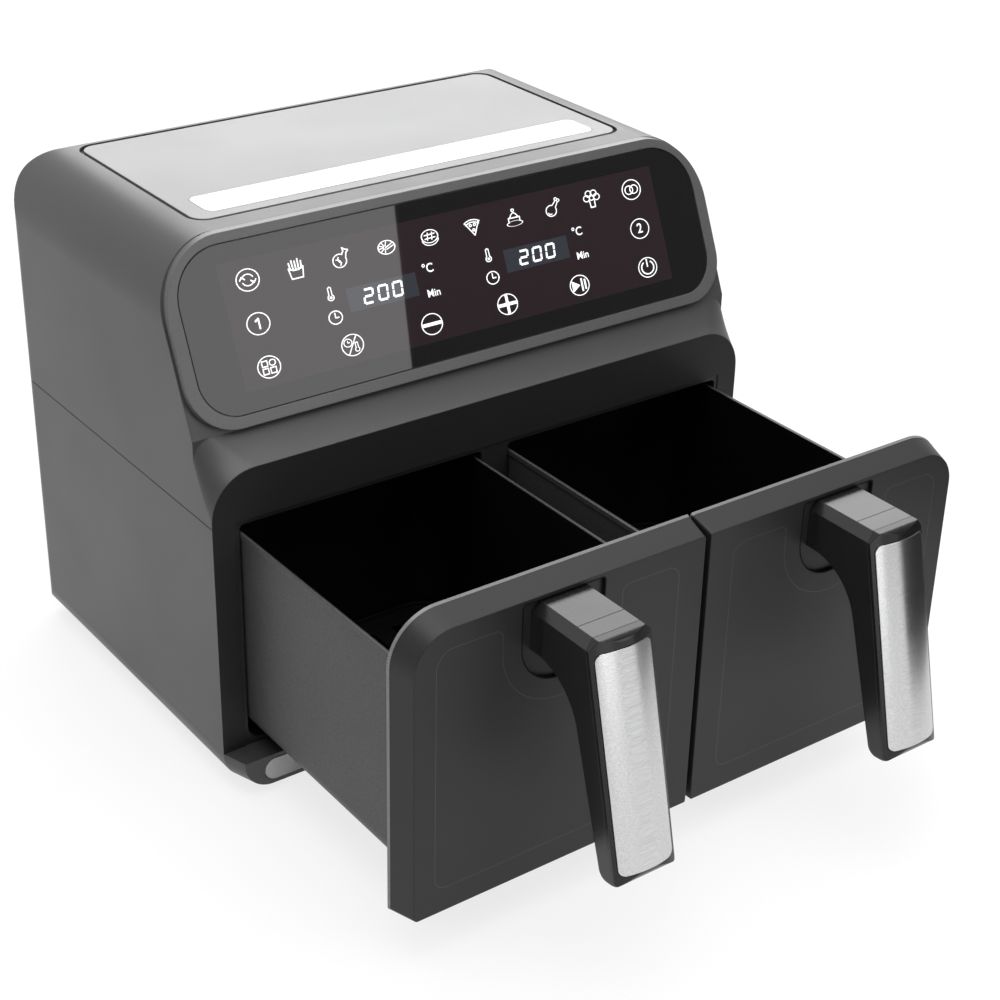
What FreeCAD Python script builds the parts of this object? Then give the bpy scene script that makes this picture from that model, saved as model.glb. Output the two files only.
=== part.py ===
import FreeCAD, Part
import math
import os

V = FreeCAD.Vector

# Whole body, in mm: X to the right, Y to the back, Z up, front plane at y = 0 before the final shift.
WIDTH = 380.0
DEPTH = 241.0
HEIGHT = 317.5
WALL = 2.6
TOP_WALL = 5.0
SEAM_Z = 173.0
CREASE_Z = 25.0
FOOT_H = 5.0
TOP_CORNER_R = 40.0
SEAT_GAP = 0.2
BACK_R = 12.0
BACK_WALL = 8.0
COVER_INSET = 16.0
COVER_R = 30.0
COVER_T = 3.0
COVER_SUNK = 0.6

# Control panel: a sloped plane that meets the top at PANEL_TOP_Y.
PANEL_LOW_Y = 13.6575
PANEL_SLOPE = 0.445
PANEL_RISE = 2.1
BEZEL_T = 4.4
BEZEL_EDGE = 1.4
BEZEL_LOW_R = 28.0
GLASS_EDGE = 8.4
GLASS_LOW = 7.2
GLASS_TOP_EDGE = 6.2234
GLASS_T = 2.4
GLASS_GAP = 0.7
FILM_EDGE = 28.2
FILM_LOW_EDGE = 10.9
FILM_TOP_EDGE = 10.5
BOARD_EDGE = 11.0
HATCH_EDGE = 4.0
HATCH_RISE = 4.1
BOSS_RISE = 1.9
BOSS_R = 2.4
BOSS_H = 2.0
FILM_T = 0.6
LED_X = 54.6
LED_RISE = 35.2
LED_W = 44.0
LED_H = 18.0
LED_T = 5.6
BOARD_T = 1.6

# Top panel groove and the label plate in it.
GROOVE_EDGE = 39.0
GROOVE_FRONT_EDGE = 19.3
GROOVE_BACK_EDGE = 12.5
GROOVE_W = 2.6
GROOVE_R = 12.0
LABEL_EDGE = 14.5
LABEL_FRONT_EDGE = 11.1
LABEL_D = 27.0
LABEL_T = 0.7
LABEL_R = 6.0
LABEL_GAP = 0.3

# Hollow behind the band over the drawers.
BAND_EDGE = 25.0
BAND_T = 3.0
BAND_DROP = 6.0

# Flare above the drawers: depth, height in the middle and corner radius of each section.
FLARE = [(0.0, 204.0, 28.0), (2.5, 205.4, 26.0), (8.9, 210.2, 21.0), (14.0, 215.0, 16.0), (17.6, 218.9, 12.0)]

# Rear cover vents, cord gland and screws, and the feet.
VENT_DROP = 121.5
VENT_STEP = 9.0
VENT_H = 4.2
VENT_HALF = 45.0
GLAND_EDGE = 40.0
GLAND_RISE = 45.0
SCREW_EDGE = 14.0
SCREW_RISE = 15.0
SCREW_DROP = 39.5
SCREW_R = 3.6
FOOT_EDGE = 35.0
FOOT_FRONT = 22.0
FOOT_BACK = 27.0
FOOT_R = 10.0

# Drawer mouth and inner cavities.
MOUTH_EDGE = 14.6
FRAME_DEPTH = 14.0
WINDOW_IN = 9.5
WINDOW_EDGE = 2.4
WINDOW_RISE = 3.0
WINDOW_DROP = 2.5
LINER_IN = 7.5
LINER_OVER = 0.1
LINER_BACK_GAP = 15.0
LINER_T = 1.0
LINER_RISE = 1.8
DOME_FRONT = 30.0
DOME_IN_EDGE = 2.5
DOME_OUT_EDGE = 3.5
DOME_H = 42.0
RAIL_GAP = 0.5
RAIL_W = 8.0
RAIL_EDGE = 24.5

# Hot air unit over each drawer.
SHAFT_R = 3.0
RUN_GAP = 0.05
HEATER_Z = 190.0
HEATER_R = 3.2
HEATER_OUT = 66.0
HEATER_STEP = 6.0
HEATER_HALVES = 3
GUARD_Z = 176.0
GUARD_R = 72.0
FAN_Z = 199.0
FAN_GAP = 2.8
MOTOR_R = 26.0
MOTOR_H = 38.0
COOL_Z = 262.0
COOL_R = 38.0

# Chin under the drawers.
CHIN_D = 16.0
CHIN_INSET = 5.3
BASE_R = 18.0
CHIN_TRIM_EDGE = 12.7
CHIN_TRIM_T = 1.8

# Drawers, standing open by TRAVEL.
TRAVEL = 172.0
PLATE_GAP = 0.3
PLATE_D = 16.1
PLATE_RISE = 3.0
PLATE_SPLIT = 0.75
PLATE_R = 28.0
PLATE_SIDE_IN = 5.3
PLATE_TOP_IN = 5.5
PLATE_MID_IN = 1.2
POCKET_SHIFT = 0.6
POCKET_HALF = 25.7
POCKET_LOW = 147.0
POCKET_HIGH = 196.0
POCKET_D = 2.0
PAN_IN_GAP = 2.0
PAN_OUT_GAP = 1.5
PAN_RISE = 6.0
PAN_HIGH = 165.0
PAN_BACK_GAP = 7.5
PAN_T = 1.5
PAN_R = 26.0
PAN_FLOOR_R = 12.0
RIM_OUT = 0.8
RIM_H = 3.0
BACKING_T = 1.8
TRAY_GAP = 2.0
TRAY_RISE = 15.0
TRAY_T = 1.5

# Handles: an arm from the pocket and a leaning grip.
ARM_HALF = 19.5
ARM_HIGH = 195.0
ARM_LOW = 167.0
ARM_CHAMFER = 5.0
ARM_BEND_R = 36.0
GRIP_REACH = 47.6
GRIP_LEAN = 31.0
GRIP_LOW_Z = 67.0
GRIP_T = 18.0
GRIP_EDGE_R = 2.0
CAP_T = 7.0
CROWN = 5.0
STRIP_HALF = 17.3
STRIP_T = 1.4
STRIP_PROUD = 0.4

# Places that follow from the sizes above.
HALF = WIDTH / 2.0
PLATE_HIGH = FLARE[0][1]
PANEL_LOW_Z = FLARE[-1][1] + PANEL_RISE
LEAN = math.sqrt(1.0 + PANEL_SLOPE ** 2)
PANEL_LEN = (HEIGHT - PANEL_LOW_Z) * LEAN
PANEL_TOP_Y = PANEL_LOW_Y + PANEL_SLOPE * (HEIGHT - PANEL_LOW_Z)
BEZEL_HALF = HALF - BEZEL_EDGE
GLASS_HALF = BEZEL_HALF - GLASS_EDGE
GLASS_HIGH = PANEL_LEN - GLASS_TOP_EDGE
FILM_HALF = GLASS_HALF - FILM_EDGE
FILM_LOW = GLASS_LOW + FILM_LOW_EDGE
FILM_HIGH = GLASS_HIGH - FILM_TOP_EDGE
LED_V = FILM_LOW + LED_RISE
MOUTH_HALF = HALF - MOUTH_EDGE
WINDOW_OUT = MOUTH_HALF - WINDOW_EDGE
WINDOW_LOW = CREASE_Z + WINDOW_RISE
WINDOW_HIGH = SEAM_Z - WINDOW_DROP
LINER_OUT = MOUTH_HALF + LINER_OVER
LINER_BACK = DEPTH - LINER_BACK_GAP
LINER_LOW = CREASE_Z + LINER_RISE
DOME_IN = LINER_IN + DOME_IN_EDGE
DOME_OUT = LINER_OUT - DOME_OUT_EDGE
DOME_TOP = SEAM_Z + DOME_H
PAN_IN = WINDOW_IN + PAN_IN_GAP
PAN_OUT = WINDOW_OUT - PAN_OUT_GAP
PAN_LOW = WINDOW_LOW + PAN_RISE
PAN_X = (PAN_IN + PAN_OUT) / 2.0
UNIT_X = PAN_X
UNIT_Y = (FRAME_DEPTH + LINER_BACK) / 2.0
RAIL_TOP = PAN_LOW - RAIL_GAP
PLATE_LOW = CREASE_Z + PLATE_RISE
PAN_LEN = LINER_BACK - LINER_T - PAN_BACK_GAP - BACKING_T + PLATE_GAP
TRAY_Z = PAN_LOW + TRAY_RISE
POCKET_X = HALF / 2.0 - POCKET_SHIFT
CHIN_TRIM_HALF = HALF - CHIN_INSET - CHIN_TRIM_EDGE
GRIP_TOP_Y = -TRAVEL - PLATE_GAP - PLATE_D - GRIP_REACH
GRIP_LOW_Y = GRIP_TOP_Y - GRIP_LEAN

nodes = {}


def box(x0, x1, y0, y1, z0, z1):
    return Part.makeBox(x1 - x0, y1 - y0, z1 - z0, V(x0, y0, z0))


def rod(x, y, z0, z1, r):
    return Part.makeCylinder(r, z1 - z0, V(x, y, z0))


def rod_y(x, z, y0, y1, r):
    return Part.makeCylinder(r, y1 - y0, V(x, y0, z), V(0, 1, 0))


def rounded(points):
    # Closed wire through corners given as (point, radius).
    count = len(points)
    trims = []
    for i, (p, r) in enumerate(points):
        a = (points[i - 1][0] - p).normalize()
        b = (points[(i + 1) % count][0] - p).normalize()
        if r == 0:
            trims.append((p, None, p))
            continue
        half = a.getAngle(b) / 2.0
        cut = r / math.tan(half)
        inward = (a + b).normalize()
        centre = p + inward * (r / math.sin(half))
        trims.append((p + a * cut, centre - inward * r, p + b * cut))
    edges = []
    for i, (start, mid, end) in enumerate(trims):
        if mid is not None:
            edges.append(Part.Arc(start, mid, end).toShape())
        follow = trims[(i + 1) % count][0]
        if (follow - end).Length > 1e-6:
            edges.append(Part.LineSegment(end, follow).toShape())
    return Part.Wire(edges)


def prism(points, way):
    return Part.Face(rounded(points)).extrude(way)


def section(half, low, high, low_r, high_r, y):
    # Closed outline across the body at depth y.
    return [(V(-half, y, low), low_r), (V(half, y, low), low_r),
            (V(half, y, high), high_r), (V(-half, y, high), high_r)]


def plan(x0, x1, y0, y1, z, r):
    return [(V(x0, y0, z), r), (V(x1, y0, z), r), (V(x1, y1, z), r), (V(x0, y1, z), r)]


def fuse(shapes):
    return shapes[0].multiFuse(shapes[1:]).removeSplitter()


def mirror(shape):
    return shape.mirror(V(0, 0, 0), V(1, 0, 0))


def pair(name, left):
    nodes[name + "_left"] = left
    nodes[name + "_right"] = mirror(left)


def twin(name, left, middle):
    # Same piece again on the right, for pieces that are even about their own middle.
    nodes[name + "_left"] = left
    nodes[name + "_right"] = left.translated(V(2 * middle, 0, 0))


TILT = math.degrees(math.atan2(1.0, PANEL_SLOPE))
PANEL = FreeCAD.Placement(V(0, PANEL_LOW_Y, PANEL_LOW_Z), FreeCAD.Rotation(V(1, 0, 0), TILT))


def on_panel(shape):
    # Local x across, y up the slope, z out of the panel.
    shape.Placement = PANEL
    return shape


def panel_slab(half, low, high, low_r, high_r, back, front):
    points = [(V(-half, low, back), low_r), (V(half, low, back), low_r),
              (V(half, high, back), high_r), (V(-half, high, back), high_r)]
    return on_panel(prism(points, V(0, 0, front - back)))


def slope_y(z, behind):
    # Depth of the sloped wall at height z, measured behind the bezel face.
    return PANEL_LOW_Y + PANEL_SLOPE * (z - PANEL_LOW_Z) + behind * LEAN


def body_block(inset, roof, behind, back, back_r):
    # Upper body with its sloped front, shrunk by the given insets.
    high = HEIGHT - roof
    front = FLARE[-1][0] + inset
    knee = FLARE[-1][1]
    at = -HALF - 5
    side = [(V(at, front, SEAM_Z), 0), (V(at, max(front, slope_y(knee, behind)), knee), 0),
            (V(at, slope_y(high, behind), high), 0), (V(at, back, high), back_r), (V(at, back, SEAM_Z), 0)]
    wedge = prism(side, V(WIDTH + 10, 0, 0))
    tube = prism(section(HALF - inset, SEAM_Z, high, 0, TOP_CORNER_R - inset, 0), V(0, back + 5, 0))
    return tube.common(wedge)


# Plan of the whole shell with rounded back corners, and the opening for the rear cover.
SHELL_PLAN = prism([(V(-HALF, -CHIN_D - 5, 0), 0), (V(HALF, -CHIN_D - 5, 0), 0),
                    (V(HALF, DEPTH, 0), BACK_R), (V(-HALF, DEPTH, 0), BACK_R)], V(0, 0, HEIGHT + 5))


def cover_plug(gap, y, depth):
    outline = section(HALF - COVER_INSET - gap, CREASE_Z + gap, HEIGHT - COVER_INSET - gap, 0, COVER_R - gap, y)
    return prism(outline, V(0, depth, 0))


BACK_WINDOW = cover_plug(0, DEPTH - 2 * BACK_WALL, 3 * BACK_WALL)

# Upper housing: flared front, sloped panel wall, rounded top corners and a pocket for the top panel.
flare = Part.makeLoft([rounded(section(HALF, SEAM_Z, z, 0, r, y)) for y, z, r in FLARE], True, False)
root_y, root_z, root_r = FLARE[-1]
root = prism(section(HALF, SEAM_Z, root_z, 0, root_r, root_y), V(0, 1.4, 0))
upper = body_block(0, 0, BEZEL_T, DEPTH, BACK_R).multiFuse([flare, root]).common(SHELL_PLAN)
upper = upper.cut(body_block(WALL, TOP_WALL, BEZEL_T + WALL, DEPTH - BACK_WALL, 0))
upper = upper.cut(BACK_WINDOW)
upper = upper.cut(box(-HALF + BAND_EDGE, HALF - BAND_EDGE, BAND_T, 40, SEAM_Z - 1, FLARE[0][1] - BAND_DROP))


def panel_hatch(back, front):
    # Opening behind the glass for the film, the displays and their wiring.
    return panel_slab(FILM_HALF + HATCH_EDGE, FILM_LOW - HATCH_RISE, FILM_HIGH + HATCH_RISE, 4, 4, back, front)


upper = upper.cut(panel_hatch(-BEZEL_T - 3 * WALL, 2))
GROOVE_HALF = HALF - GROOVE_EDGE
GROOVE_FRONT = PANEL_TOP_Y + GROOVE_FRONT_EDGE
GROOVE_BACK = DEPTH - GROOVE_BACK_EDGE
pocket = plan(-GROOVE_HALF, GROOVE_HALF, GROOVE_FRONT, GROOVE_BACK, HEIGHT - TOP_WALL / 2, GROOVE_R)
upper = upper.cut(prism(pocket, V(0, 0, TOP_WALL)))
for bx in (-FILM_HALF - HATCH_EDGE - BOSS_R - 0.1, FILM_HALF + HATCH_EDGE + BOSS_R + 0.1):
    for bv in (FILM_LOW + BOSS_RISE, FILM_HIGH - BOSS_RISE):
        boss = on_panel(Part.makeCylinder(BOSS_R, BOSS_H + 0.2, V(bx, bv, -BEZEL_T - WALL - BOSS_H)))
        upper = upper.fuse(boss)
nodes["upper_housing"] = upper.removeSplitter()

# Lower housing: two side walls with a narrow front strip each and a fine groove in it.
lower = box(-HALF, HALF, 0, DEPTH, CREASE_Z, SEAM_Z).common(SHELL_PLAN)
lower = lower.cut(box(-HALF + WALL, HALF - WALL, 3, DEPTH - BACK_WALL, CREASE_Z - 1, SEAM_Z + 1))
lower = lower.cut(BACK_WINDOW)
lower = lower.cut(box(-MOUTH_HALF, MOUTH_HALF, -1, 4, CREASE_Z - 1, SEAM_Z + 1))
for gx in (-180.8, 180.0):
    lower = lower.cut(box(gx, gx + 0.8, -1, 0.8, CREASE_Z - 1, SEAM_Z + 1))
nodes["lower_housing_left"] = lower.common(box(-HALF - 1, 0, -1, DEPTH + 1, 0, HEIGHT))
nodes["lower_housing_right"] = lower.common(box(0, HALF + 1, -1, DEPTH + 1, 0, HEIGHT))

# Base with the chin in front, hollow behind the front wall.
base = prism(section(HALF, FOOT_H, CREASE_Z, BASE_R, 0, 0), V(0, DEPTH, 0))
chin_ends = [rounded(section(HALF, FOOT_H, CREASE_Z, BASE_R, 0, 0)),
             rounded(section(HALF - CHIN_INSET, FOOT_H, CREASE_Z, BASE_R, 0, -CHIN_D))]
chin = Part.makeLoft(chin_ends, True, True)
hollow = section(HALF - WALL, FOOT_H + WALL, CREASE_Z + 5, BASE_R - WALL, 0, 3)
base = base.fuse(chin).common(SHELL_PLAN).cut(prism(hollow, V(0, DEPTH - BACK_WALL - 3, 0)))
trim_room = section(CHIN_TRIM_HALF + 0.4, 7.6, 22.4, 7.3, 7.3, -CHIN_D - 1)
base = base.cut(prism(trim_room, V(0, 1 + CHIN_TRIM_T, 0)))
nodes["base_tray"] = base.removeSplitter()
trim = section(CHIN_TRIM_HALF, 8.0, 22.0, 6.9, 6.9, -CHIN_D - 0.3)
nodes["chin_trim"] = prism(trim, V(0, 0.3 + CHIN_TRIM_T, 0))

# Front frame: one plate with a window for each drawer and the post between them.
frame = box(-MOUTH_HALF + SEAT_GAP, MOUTH_HALF - SEAT_GAP, 0.6, FRAME_DEPTH, CREASE_Z, SEAM_Z)
for x0, x1 in ((-WINDOW_OUT, -WINDOW_IN), (WINDOW_IN, WINDOW_OUT)):
    window = [(V(x0, 0, WINDOW_LOW), 9), (V(x1, 0, WINDOW_LOW), 9),
              (V(x1, 0, WINDOW_HIGH), 3), (V(x0, 0, WINDOW_HIGH), 3)]
    frame = frame.cut(prism(window, V(0, 20, 0)))
nodes["front_frame"] = frame

# Top panel and the blank label plate set in it.
panel_z = HEIGHT - TOP_WALL / 2
top_panel = prism(plan(-GROOVE_HALF + GROOVE_W, GROOVE_HALF - GROOVE_W, GROOVE_FRONT + GROOVE_W,
                       GROOVE_BACK - GROOVE_W, panel_z, GROOVE_R - GROOVE_W), V(0, 0, TOP_WALL / 2 - 0.1))
label_half = GROOVE_HALF - LABEL_EDGE
label_front = GROOVE_FRONT + LABEL_FRONT_EDGE


def label_plate(grow, depth):
    outline = plan(-label_half - grow, label_half + grow, label_front - grow, label_front + LABEL_D + grow,
                   HEIGHT - LABEL_T, LABEL_R + grow)
    return prism(outline, V(0, 0, depth))


nodes["top_panel"] = top_panel.cut(label_plate(LABEL_GAP, 2))
nodes["top_label"] = label_plate(0, LABEL_T)

# Control panel: bezel, glass, printed film, number displays and the board behind.
bezel = panel_slab(BEZEL_HALF, 0, PANEL_LEN + 24, BEZEL_LOW_R, 0, -BEZEL_T, 0)
bezel = bezel.common(prism(section(BEZEL_HALF, SEAM_Z, HEIGHT, 0, TOP_CORNER_R, -20), V(0, DEPTH, 0)))
seat = -0.4 - GLASS_T
bezel = bezel.cut(panel_slab(GLASS_HALF + GLASS_GAP, GLASS_LOW - GLASS_GAP, GLASS_HIGH + GLASS_GAP,
                             22.7, 30.7, seat, 1))
bezel = bezel.cut(panel_hatch(-BEZEL_T - 1, 1))
nodes["panel_bezel"] = bezel
nodes["panel_glass"] = panel_slab(GLASS_HALF, GLASS_LOW, GLASS_HIGH, 22, 30, seat, -0.4)
film_back = seat - FILM_T
nodes["display_film"] = panel_slab(FILM_HALF, FILM_LOW, FILM_HIGH, 2, 2, film_back, seat)
led_back = -BEZEL_T - WALL - BOSS_H
leds = []
for lx in (-LED_X - 2.5, LED_X - 2.5):
    led = Part.makeBox(LED_W, LED_H, film_back - led_back,
                       V(lx - LED_W / 2, LED_V - LED_H / 2, led_back))
    leds.append(on_panel(led))
nodes["led_displays"] = Part.makeCompound(leds)
nodes["control_board"] = panel_slab(FILM_HALF + BOARD_EDGE, FILM_LOW - HATCH_RISE - 2,
                                    FILM_HIGH + HATCH_RISE + 2, 2, 2, led_back - BOARD_T, led_back)

# Rear cover with air slots, the cord gland and the cover screws.
cover_y = DEPTH - COVER_SUNK - COVER_T
cover = cover_plug(SEAT_GAP, cover_y, COVER_T)
for cx in (-UNIT_X, UNIT_X):
    for k in range(9):
        z = HEIGHT - VENT_DROP + VENT_STEP * k
        slot = [(V(cx - VENT_HALF, cover_y - 1, z), 2), (V(cx + VENT_HALF, cover_y - 1, z), 2),
                (V(cx + VENT_HALF, cover_y - 1, z + VENT_H), 2), (V(cx - VENT_HALF, cover_y - 1, z + VENT_H), 2)]
        cover = cover.cut(prism(slot, V(0, COVER_T + 3, 0)))
gland_x = HALF - GLAND_EDGE
gland_z = CREASE_Z + GLAND_RISE
cover = cover.cut(rod_y(gland_x, gland_z, cover_y - 1, cover_y + 5, 7.4))
nodes["rear_cover"] = cover
gland = rod_y(gland_x, gland_z, cover_y - 6, cover_y + COVER_T, 7.1)
gland = gland.fuse(rod_y(gland_x, gland_z, cover_y + COVER_T, cover_y + 6.0, 10.5))
gland = gland.cut(rod_y(gland_x, gland_z, cover_y - 10, cover_y + 10, 3.8))
nodes["cord_gland"] = gland.removeSplitter()
screws = []
for sx in (-HALF + COVER_INSET + SCREW_EDGE, 0, HALF - COVER_INSET - SCREW_EDGE):
    for sz in (CREASE_Z + SCREW_RISE, HEIGHT - COVER_INSET - SCREW_DROP):
        head = rod_y(sx, sz, cover_y + COVER_T, cover_y + COVER_T + 1.6, SCREW_R)
        drive = box(sx - 2.4, sx + 2.4, cover_y + 3.9, cover_y + 6, sz - 0.5, sz + 0.5)
        drive = drive.fuse(box(sx - 0.5, sx + 0.5, cover_y + 3.9, cover_y + 6, sz - 2.4, sz + 2.4))
        screws.append(head.cut(drive))
nodes["cover_screws"] = Part.makeCompound(screws)

# Four rubber feet under the base.
feet = []
for fx in (-HALF + FOOT_EDGE, HALF - FOOT_EDGE):
    for fy in (FOOT_FRONT, DEPTH - FOOT_BACK):
        foot = rod(fx, fy, 0, FOOT_H, FOOT_R)
        feet.append(foot.makeChamfer(1.0, [foot.Edges[2]]))
nodes["feet"] = Part.makeCompound(feet)

# Cavity liner of the left bay: drawer space, raised dome for the heater, runner rails.
liner = box(-LINER_OUT, -LINER_IN, FRAME_DEPTH, LINER_BACK, LINER_LOW, SEAM_Z - 1)
liner = liner.fuse(box(-DOME_OUT, -DOME_IN, DOME_FRONT, LINER_BACK, SEAM_Z - 2, DOME_TOP))
low_room = box(-LINER_OUT + LINER_T, -LINER_IN - LINER_T, FRAME_DEPTH - 1, LINER_BACK - LINER_T,
               LINER_LOW + LINER_T, SEAM_Z - 1 - LINER_T)
dome_room = box(-DOME_OUT + LINER_T, -DOME_IN - LINER_T, DOME_FRONT + LINER_T, LINER_BACK - LINER_T,
                SEAM_Z - 3, DOME_TOP - LINER_T)
liner = liner.cut(low_room).cut(dome_room)
for rx in (-PAN_OUT + RAIL_EDGE - 3, -PAN_IN - RAIL_EDGE - RAIL_W + 3):
    rail = box(rx, rx + RAIL_W, FRAME_DEPTH + 2, LINER_BACK - LINER_T, LINER_LOW + LINER_T, RAIL_TOP)
    liner = liner.fuse(rail)
liner = liner.cut(rod(-UNIT_X, UNIT_Y, DOME_TOP - 5, DOME_TOP + 5, SHAFT_R + 3))
pair("cavity_liner", liner.removeSplitter())

# Heating tube: half rings of falling radius with two ends up to the dome roof.
turns = [HEATER_OUT - HEATER_STEP * k for k in range(HEATER_HALVES)]
edges = []
side = 1
cx = 0.0
for r in turns:
    start = V(cx + side * r, 0, 0)
    mid = V(cx, side * r, 0)
    end = V(cx - side * r, 0, 0)
    edges.append(Part.Arc(start, mid, end).toShape())
    following = r - HEATER_STEP
    cx = end.x + side * following
    side = -side
path = Part.Wire(edges)
ring = Part.Wire([Part.makeCircle(HEATER_R, V(HEATER_OUT, 0, 0), V(0, 1, 0))])
tube = path.makePipeShell([ring], True, False)
last = edges[-1].Vertexes[-1].Point
leg_top = DOME_TOP - LINER_T - HEATER_Z
legs = []
for p in (V(HEATER_OUT, 0, 0), last):
    legs.append(Part.makeSphere(HEATER_R + 0.6, p))
    legs.append(Part.makeCylinder(HEATER_R - 0.6, leg_top, p))
heater = tube.multiFuse(legs)
heater.translate(V(-UNIT_X, UNIT_Y, HEATER_Z))
pair("heater", heater)

# Wire guard under the heater, hung from the dome roof by four posts.
rings = [Part.makeTorus(r, 1.3) for r in (16, 30, 44, 58, GUARD_R)]
for k in range(4):
    bar = box(-GUARD_R, GUARD_R, -1.4, 1.4, -0.9, 0.9)
    bar.rotate(V(0, 0, 0), V(0, 0, 1), 45 * k)
    rings.append(bar)
for k in range(4):
    a = math.radians(45 + 90 * k)
    rings.append(rod(GUARD_R * math.cos(a), GUARD_R * math.sin(a), 0, DOME_TOP - LINER_T - GUARD_Z, 1.6))
guard = rings[0].multiFuse(rings[1:])
guard.translate(V(-UNIT_X, UNIT_Y, GUARD_Z))
pair("heater_guard", guard)

# Motor, its bracket, the shaft and the two fans on it.
bracket_t = 2.0
bracket = prism(plan(-42, 42, -34, 34, 0, 8), V(0, 0, bracket_t))
bracket = bracket.cut(rod(0, 0, -1, 5, SHAFT_R + 3))
bracket.translate(V(-UNIT_X, UNIT_Y, DOME_TOP))
pair("motor_bracket", bracket)
motor_z = DOME_TOP + bracket_t
motor = rod(0, 0, 0, MOTOR_H, MOTOR_R).fuse(rod(0, 0, MOTOR_H - 1, MOTOR_H + 3, 9))
motor = motor.cut(rod(0, 0, -1, MOTOR_H + 9, SHAFT_R + RUN_GAP))
motor.translate(V(-UNIT_X, UNIT_Y, motor_z))
pair("motor", motor.removeSplitter())
shaft_low = FAN_Z - 5
collar = 2.0
shaft = rod(0, 0, shaft_low, COOL_Z + 18, SHAFT_R)
shaft = shaft.fuse(rod(0, 0, FAN_Z - collar, FAN_Z, 6)).fuse(rod(0, 0, COOL_Z - collar, COOL_Z, 6))
shaft.translate(V(-UNIT_X, UNIT_Y, 0))
pair("rotor_shaft", shaft.removeSplitter())


def fan(r, count, low, blade_h, lean):
    # Back disc with standing blades around a hub, bored for the shaft.
    parts = [rod(0, 0, low, low + 1.2, r), rod(0, 0, low, low + blade_h, 9)]
    for k in range(count):
        blade = box(r * 0.42, r - 1, -0.7, 0.7, low + 0.5, low + blade_h)
        blade.rotate(V(r * 0.42, 0, 0), V(0, 0, 1), lean)
        blade.rotate(V(0, 0, 0), V(0, 0, 1), 360.0 * k / count)
        parts.append(blade)
    whole = parts[0].multiFuse(parts[1:])
    whole = whole.common(rod(0, 0, low - 1, low + blade_h + 1, r))
    whole = whole.cut(rod(0, 0, low - 5, low + 40, SHAFT_R + RUN_GAP))
    whole.translate(V(-UNIT_X, UNIT_Y, 0))
    return whole.removeSplitter()


pair("hot_fan", fan(turns[-1] - HEATER_R - FAN_GAP, 10, FAN_Z, 11.0, 18))
pair("cooling_fan", fan(COOL_R, 9, COOL_Z, 11.0, 22))

# Small electrics: thermal fuse on the dome, drawer switch behind the post.
fuse_box = box(-UNIT_X + 50, -UNIT_X + 64, UNIT_Y + 30, UNIT_Y + 36, DOME_TOP, DOME_TOP + 4)
pair("thermal_fuse", fuse_box)
switch = box(-LINER_IN + 0.5, -1.2, FRAME_DEPTH, FRAME_DEPTH + 9, SEAM_Z - 27, SEAM_Z - 9)
pair("drawer_switch", switch)

# Power board on standoffs above the domes.
pb = LINER_BACK - 4
power = [box(-52, 52, pb - 54, pb, DOME_TOP + 6, DOME_TOP + 6 + BOARD_T)]
for px in (-46, 46):
    for py in (pb - 48, pb - 6):
        power.append(rod(px, py, DOME_TOP, DOME_TOP + 6.5, 3))
board_top = DOME_TOP + 6 + BOARD_T
power.append(box(-44, -12, pb - 46, pb - 20, board_top - 0.2, board_top + 24))
power.append(box(4, 22, pb - 46, pb - 30, board_top - 0.2, board_top + 15))
power.append(box(26, 44, pb - 46, pb - 30, board_top - 0.2, board_top + 15))
power.append(rod(14, pb - 14, board_top - 0.2, board_top + 20, 7))
nodes["power_board"] = fuse(power)

# Left drawer front: a plate with bevelled edges, one rounded corner and the handle pocket.
plate_rear = -TRAVEL - PLATE_GAP
plate_front = plate_rear - PLATE_D


def plate_outline(side_in, top_in, mid_in, y):
    r = PLATE_R - side_in
    return rounded([(V(-HALF + side_in, y, PLATE_LOW), 3), (V(-PLATE_SPLIT - mid_in, y, PLATE_LOW), 1),
                    (V(-PLATE_SPLIT - mid_in, y, PLATE_HIGH - top_in), 1.5),
                    (V(-HALF + side_in, y, PLATE_HIGH - top_in), r)])


plate = Part.makeLoft([plate_outline(0, 0, 0, plate_rear),
                       plate_outline(PLATE_SIDE_IN, PLATE_TOP_IN, PLATE_MID_IN, plate_front)], True, True)
room = [(V(-POCKET_X - POCKET_HALF, plate_front - 1, POCKET_LOW), 24.5),
        (V(-POCKET_X + POCKET_HALF, plate_front - 1, POCKET_LOW), 24.5),
        (V(-POCKET_X + POCKET_HALF, plate_front - 1, POCKET_HIGH), 2),
        (V(-POCKET_X - POCKET_HALF, plate_front - 1, POCKET_HIGH), 2)]
plate = plate.cut(prism(room, V(0, POCKET_D + 1, 0)))
pair("drawer_front", plate)

# Sheet backing between the plate and the pan.
backing = [(V(-PAN_OUT, plate_rear, PAN_LOW), 12), (V(-PAN_IN, plate_rear, PAN_LOW), 12),
           (V(-PAN_IN, plate_rear, PAN_HIGH), 2), (V(-PAN_OUT, plate_rear, PAN_HIGH), 2)]
twin("drawer_backing", prism(backing, V(0, BACKING_T, 0)), PAN_X)

# Pan: drawn box with rounded corners and a turned rim.
pan_y0 = plate_rear + BACKING_T
pan_y1 = pan_y0 + PAN_LEN


def drawn_box(inset, low, high, floor_r):
    block = prism(plan(-PAN_OUT + inset, -PAN_IN - inset, pan_y0 + inset, pan_y1 - inset, low, PAN_R - inset),
                  V(0, 0, high - low))
    rim = [e for e in block.Edges if abs(e.BoundBox.ZMax - low) < 1e-6]
    return block.makeFillet(floor_r, rim)


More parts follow.
